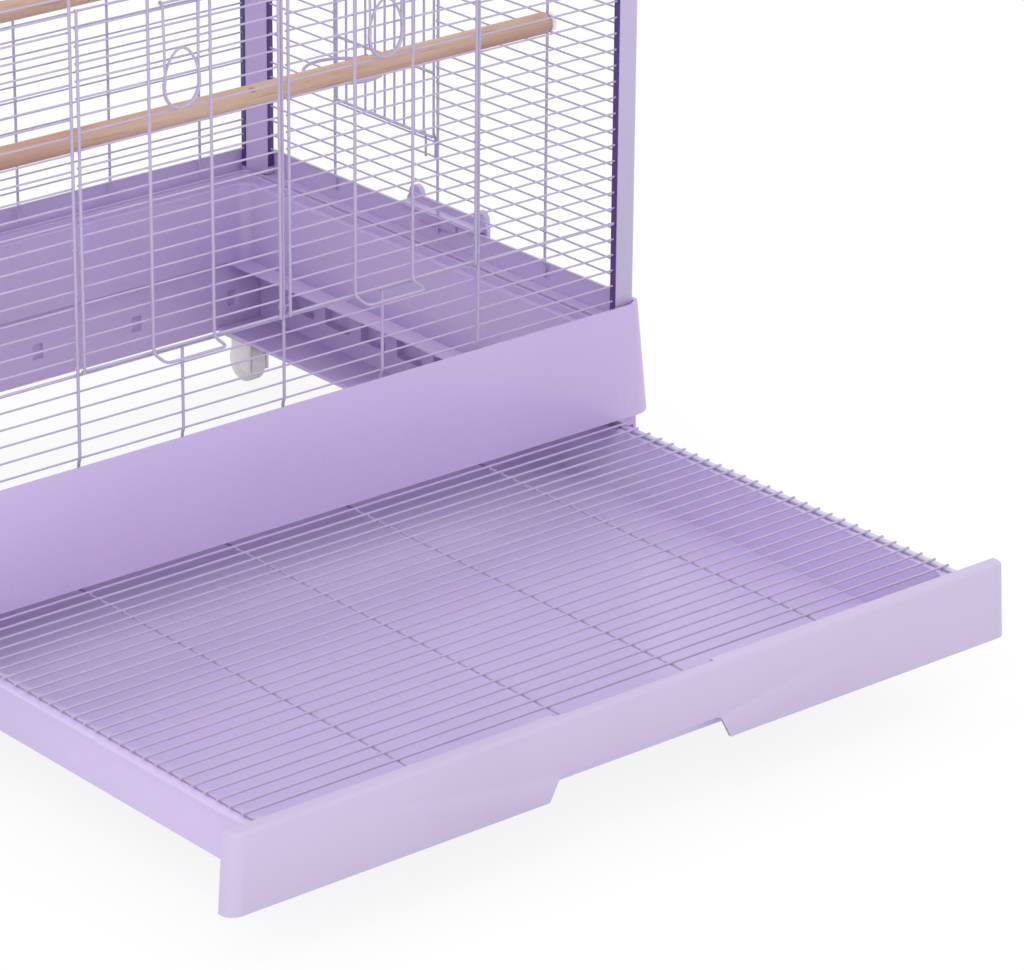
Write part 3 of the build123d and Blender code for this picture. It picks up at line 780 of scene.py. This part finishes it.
def turned(name, outline, x, y, finish, steps):
    """Closed shape turned about an upright line; the outline runs from the axis back to the axis."""
    form = bmesh.new()
    rings = []
    for radius, z in outline:
        if radius == 0.0:
            rings.append([form.verts.new((x, y, z))])
        else:
            angles = [2 * pi * i / steps for i in range(steps)]
            rings.append([form.verts.new((x + radius * cos(a), y + radius * sin(a), z)) for a in angles])
    for a, b in zip(rings, rings[1:]):
        for i in range(steps):
            j = (i + 1) % steps
            corners = [a[i % len(a)], a[j % len(a)], b[j % len(b)], b[i % len(b)]]
            form.faces.new(list(dict.fromkeys(corners)))
    bmesh.ops.recalc_face_normals(form, faces=form.faces)
    mesh = bpy.data.meshes.new(name)
    form.to_mesh(mesh)
    form.free()
    mesh.polygons.foreach_set("use_smooth", [True] * len(mesh.polygons))
    mesh.materials.append(finishes()[finish])
    return added(name, mesh)


class CAGE_OT_roof(bpy.types.Operator):
    """Plastic roof rim, the wires let into it and the carrying handle"""
    bl_idname = "cage.roof"
    bl_label = "Roof"

    def execute(self, context):
        sizes = context.scene.cage_sizes
        softened("roof_rim", "cage", "lilac_plastic", "cage shell")
        low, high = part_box("roof_grille")
        level = high.z - sizes.wire / 2
        below = level - (sizes.wire + sizes.column) / 2 + SINK
        first, last = low.y + 0.0036, high.y - 0.0036
        step = (last - first) / (ROOF_ROWS - 1)
        line = [(low.x, first, level), (high.x, first, level)]
        runs = [WireRun(line, ROOF_ROWS, (0, step, 0), sizes.wire, 10)]
        uprights = [low.x + 0.0035] + [i * sizes.column_step for i in range(-3, 4)] + [high.x - 0.0035]
        welds = []
        for x in uprights:
            runs.append(WireRun([(x, low.y, below), (x, high.y, below)], thick=sizes.column, cuts=8))
            welds += [(x, first + i * step, (level + below) / 2) for i in range(ROOF_ROWS)]
        grip_low, grip_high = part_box("roof_handle")
        middle = (grip_low.y + grip_high.y) / 2
        reach, top = grip_high.x - 0.0019, grip_high.z - 0.0019
        grip = [(-reach, middle, level), (-reach, middle, top), (reach, middle, top), (reach, middle, level)]
        runs.append(WireRun(bend(grip, 0.008), thick=0.0038, sides=12))
        piece = wire_piece("roof_wires", runs, welds, seed=130.0)
        place_on(piece, "cage", "wire", "roof_grille", "roof_handle")
        return {"FINISHED"}


class CAGE_OT_posts(bpy.types.Operator):
    """Corner posts and the dark strips that the wire ends plug into"""
    bl_idname = "cage.posts"
    bl_label = "Posts"

    def execute(self, context):
        for y_name in ("front", "back"):
            for x_name, _ in SIDES:
                # The back posts take the shell colour, lighter than the posts' own colour: painted light that
                # lifts the shade on their inward faces.
                finish = "post plastic" if y_name == "front" else "cage shell"
                softened(f"post_{y_name}_{x_name}", "cage", "lilac_plastic", finish, 0.0009)
        softened("channel_strips", "cage", "dark_strip", "channel strip", 0.0002)
        return {"FINISHED"}


class CAGE_OT_base(bpy.types.Operator):
    """Flared base with its groove and ledge"""
    bl_idname = "cage.base"
    bl_label = "Base"

    def execute(self, context):
        softened("base_skirt", "cage", "lilac_plastic", "cage shell", 0.0016)
        self.groove_lip()
        for name, _ in SIDES:
            softened(f"clip_{name}", f"clip_{name}", "lilac_plastic", "cage shell", 0.0009)
        return {"FINISHED"}

    def groove_lip(self):
        """Second thin rib inside the base's groove, with a dark slot between the two."""
        low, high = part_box("base_skirt")
        middle = (low.y + high.y) / 2
        foot = high.z - 0.0262
        crown = foot + 0.0075
        thick = 0.0018
        form = bmesh.new()
        rings = []
        for inset, z in ((0, foot), (0, crown), (thick, crown), (thick, foot)):
            half_x = 0.3768 - inset
            half_y = 0.2678 - inset
            radius = 0.010 - inset
            ring = []
            for corner, (sx, sy) in enumerate(((1, 1), (-1, 1), (-1, -1), (1, -1))):
                for i in range(9):
                    angle = (corner + i / 8) * pi / 2
                    x = sx * (half_x - radius) + radius * cos(angle)
                    y = middle + sy * (half_y - radius) + radius * sin(angle)
                    ring.append(form.verts.new((x, y, z)))
            rings.append(ring)
        for a, b in zip(rings, rings[1:] + rings[:1]):
            for i in range(len(a)):
                j = (i + 1) % len(a)
                form.faces.new((a[i], a[j], b[j], b[i]))
        bmesh.ops.recalc_face_normals(form, faces=form.faces)
        mesh = bpy.data.meshes.new("groove_lip")
        form.to_mesh(mesh)
        form.free()
        mesh.materials.append(finishes()["cage shell"])
        lip = added("groove_lip", mesh)
        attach(lip, "cage")


class CAGE_OT_stand(bpy.types.Operator):
    """Low stand: side rails and back wall"""
    bl_idname = "cage.stand"
    bl_label = "Stand"

    def execute(self, context):
        for node in ("stand_rail_left", "stand_rail_right", "stand_back_wall"):
            softened(node, "cage", "lilac_plastic", "cage shell", 0.0009)
        return {"FINISHED"}


class CAGE_OT_tray(bpy.types.Operator):
    """Pull-out tray: pan and front panel"""
    bl_idname = "cage.tray"
    bl_label = "Tray"

    def execute(self, context):
        # The pan's colour is painted light: paler than its own, against the shade inside the base.
        softened("tray_pan", "tray", "pale_lilac_plastic", "tray pan", 0.0010)
        softened("tray_front", "tray", "pale_lilac_plastic", "tray front", 0.0010)
        return {"FINISHED"}


class CAGE_OT_grate(bpy.types.Operator):
    """Lift-out wire grate: cross wires on a frame wire and four long wires"""
    bl_idname = "cage.grate"
    bl_label = "Tray grate"

    def execute(self, context):
        sizes = context.scene.cage_sizes
        low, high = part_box("tray_grate")
        thick = FINE_WIRE
        lower, upper = low.z + thick / 2, high.z - thick / 2
        first, last = low.y + thick / 2, high.y - thick / 2
        count = round((last - first) / sizes.grate_pitch) + 1
        edge = high.x - 0.005
        second = first + sizes.grate_pitch
        line = [(low.x, second, upper), (high.x, second, upper)]
        runs = [WireRun(line, count - 2, (0, sizes.grate_pitch, 0), thick, 10)]
        ring = [(0, first, lower), (edge, first, lower), (edge, last, lower), (-edge, last, lower),
                (-edge, first, lower), (0, first, lower)]
        runs.append(WireRun(bend(ring, 0.010), thick=thick * 1.15, cuts=1))
        welds = []
        for x in GRATE_RUNS:
            runs.append(WireRun([(x, first, lower), (x, last, lower)], thick=thick, cuts=10))
        for x in (-edge, *GRATE_RUNS, edge):
            welds += [(x, first + i * sizes.grate_pitch, (lower + upper) / 2) for i in range(1, count - 1)]
        piece = wire_piece("tray_grate_wires", runs, welds, seed=150.0)
        place_on(piece, "tray", "wire", "tray_grate")
        return {"FINISHED"}


class CAGE_OT_perches(bpy.types.Operator):
    """Wooden perches and their end caps"""
    bl_idname = "cage.perches"
    bl_label = "Perches"

    def execute(self, context):
        for number, node in enumerate(("perch_front", "perch_back")):
            low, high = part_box(node)
            middle_y, middle_z = (low.y + high.y) / 2, (low.z + high.z) / 2
            radius = (high.z - low.z) / 2
            ends = [(0.0, 0.0), (radius - 0.0012, 0.0), (radius - 0.0003, 0.0005), (radius, 0.0014)]
            length = high.x - low.x
            outline = ends + [(radius, length / 2)] + [(r, length - along) for r, along in reversed(ends)]
            form = turned(f"{node}_dowel", outline, 0, 0, "perch wood", 40)
            lay_down = Matrix.Rotation(pi / 2, 4, "Y")
            form.data.transform(Matrix.Translation((low.x, middle_y, middle_z)) @ lay_down)
            place_on(form, "cage", "perch_wood", node)
        softened("perch_caps", "cage", "white_plastic", "caster plastic", 0.0012)
        return {"FINISHED"}


class CAGE_OT_casters(bpy.types.Operator):
    """Swivel casters: plates, forks and wheels"""
    bl_idname = "cage.casters"
    bl_label = "Casters"

    def execute(self, context):
        softened("caster_plates", "cage", "zinc_plate", "plated steel", 0.0006)
        for y_name in ("front", "back"):
            for x_name, _ in SIDES:
                corner = f"{y_name}_{x_name}"
                softened(f"fork_{corner}", f"fork_{corner}", "white_plastic", "caster plastic", 0.0012)
                softened(f"wheel_{corner}", f"wheel_{corner}", "wheel_plastic", "wheel plastic", 0.0010)
        return {"FINISHED"}


def soft_light(name, place, target, size, power):
    """Large square lamp that faces a point."""
    lamp = bpy.data.lights.new(name, "AREA")
    lamp.shape = "SQUARE"
    lamp.size = size
    lamp.energy = power
    light = added(name, lamp)
    light.location = place
    light.rotation_euler = (Vector(target) - Vector(place)).to_track_quat("-Z", "Y").to_euler()


class CAGE_OT_stage(bpy.types.Operator):
    """Pale floor, soft light and the camera"""
    bl_idname = "cage.stage"
    bl_label = "Stage"

    def execute(self, context):
        scene = context.scene
        scene.view_settings.view_transform = "Standard"
        self.floor(scene.cage_colours.floor)
        self.world(scene)
        centre = (0, 0, 0.35)
        soft_light("key light", (-2.2, -1.8, 3.6), centre, 2.4, 30)
        soft_light("fill light", (-2.4, -3.4, 1.5), centre, 2.4, 18)
        soft_light("top light", (0.4, 1.4, 3.6), centre, 2.6, 26)
        self.camera(scene)
        return {"FINISHED"}

    def floor(self, colour):
        """Wide floor that shows white to the camera but keeps the cage's shadow."""
        half = 14.0
        mesh = bpy.data.meshes.new("studio_floor")
        corners = [(-half, -half, 0), (half, -half, 0), (half, half, 0), (-half, half, 0)]
        mesh.from_pydata(corners, [], [(0, 1, 2, 3)])
        floor = added("studio_floor", mesh)
        finish = Finish("studio floor")
        cloud = finish.noise(1.2, 2.0)
        base = finish.mix(cloud, tinted(tuple(colour), 0.985), tuple(colour))
        matt = finish.node("ShaderNodeBsdfDiffuse", inputs={"Color": base})
        glow = finish.node("ShaderNodeEmission", inputs={"Color": (1, 1, 1, 1), "Strength": 1.0})
        seen = finish.node("ShaderNodeLightPath", output="Is Camera Ray")
        shader = finish.node("ShaderNodeMixShader", inputs={0: seen * 0.86, 1: matt, 2: glow})
        finish.node("ShaderNodeOutputMaterial", inputs={"Surface": shader})
        mesh.materials.append(finish.material)

    def world(self, scene):
        """White surroundings, dimmer as a light than as a backdrop."""
        world = bpy.data.worlds.new("studio")
        world.use_nodes = True
        scene.world = world
        make = Maker(world.node_tree)
        world.node_tree.nodes.clear()
        path = world.node_tree.nodes.new("ShaderNodeLightPath").outputs
        shown = Field(world.node_tree, path["Is Camera Ray"])
        mirrored = Field(world.node_tree, path["Is Glossy Ray"])
        through = Field(world.node_tree, path["Is Transmission Ray"])
        plain = make.node("ShaderNodeBackground", inputs={"Color": (1, 1, 1, 1), "Strength": 0.96})
        white = make.node("ShaderNodeBackground", inputs={"Color": (1, 1, 1, 1), "Strength": 1.0})
        straight = make.node("ShaderNodeMath", {"operation": "MAXIMUM"}, {0: shown, 1: mirrored})
        straight = make.node("ShaderNodeMath", {"operation": "MAXIMUM"}, {0: straight, 1: through})
        shader = make.node("ShaderNodeMixShader", inputs={0: straight, 1: plain, 2: white})
        make.node("ShaderNodeOutputWorld", inputs={"Surface": shader})

    def camera(self, scene):
        """Long lens from the front left, above the cage."""
        turn, tilt = radians(39.008), radians(21.544)
        ahead = Vector((sin(turn) * cos(tilt), cos(turn) * cos(tilt), -sin(tilt)))
        lens = bpy.data.cameras.new("photo camera")
        lens.sensor_width = 36
        lens.lens = 179.54
        lens.shift_x = 0.109
        lens.shift_y = -0.1025
        lens.clip_end = 100
        camera = added("photo camera", lens)
        camera.location = (-2.5065, -3.3059, 1.8714)
        camera.rotation_euler = ahead.to_track_quat("-Z", "Y").to_euler()
        scene.camera = camera


STEPS = (CAGE_OT_front_wires, CAGE_OT_back_wires, CAGE_OT_side_wires, CAGE_OT_doors, CAGE_OT_catches,
         CAGE_OT_feeders, CAGE_OT_roof, CAGE_OT_posts, CAGE_OT_base, CAGE_OT_stand,
         CAGE_OT_tray, CAGE_OT_grate, CAGE_OT_perches, CAGE_OT_casters, CAGE_OT_stage)


class CAGE_PT_maker(bpy.types.Panel):
    """Sidebar panel with the cage's sizes, colours and steps"""
    bl_idname = "CAGE_PT_maker"
    bl_label = "Flight cage"
    bl_space_type = "VIEW_3D"
    bl_region_type = "UI"
    bl_category = "Cage"

    def draw(self, context):
        layout = self.layout
        for group in (context.scene.cage_sizes, context.scene.cage_colours):
            box = layout.box()
            for name in group.__annotations__:
                box.prop(group, name)
        for step in STEPS:
            layout.operator(step.bl_idname)


CLASSES = (CageSizes, CageColours, *STEPS, CAGE_PT_maker)


def register():
    """Make the classes known and give the scene its settings."""
    for item in CLASSES:
        bpy.utils.register_class(item)
    bpy.types.Scene.cage_sizes = bpy.props.PointerProperty(type=CageSizes)
    bpy.types.Scene.cage_colours = bpy.props.PointerProperty(type=CageColours)


def unregister():
    """Take the settings and the classes away again."""
    del bpy.types.Scene.cage_colours
    del bpy.types.Scene.cage_sizes
    for item in reversed(CLASSES):
        bpy.utils.unregister_class(item)


def main():
    """Build the whole cage."""
    register()
    for step in STEPS:
        group, name = step.bl_idname.split(".")
        getattr(getattr(bpy.ops, group), name)()


if __name__ == "__main__":
    main()
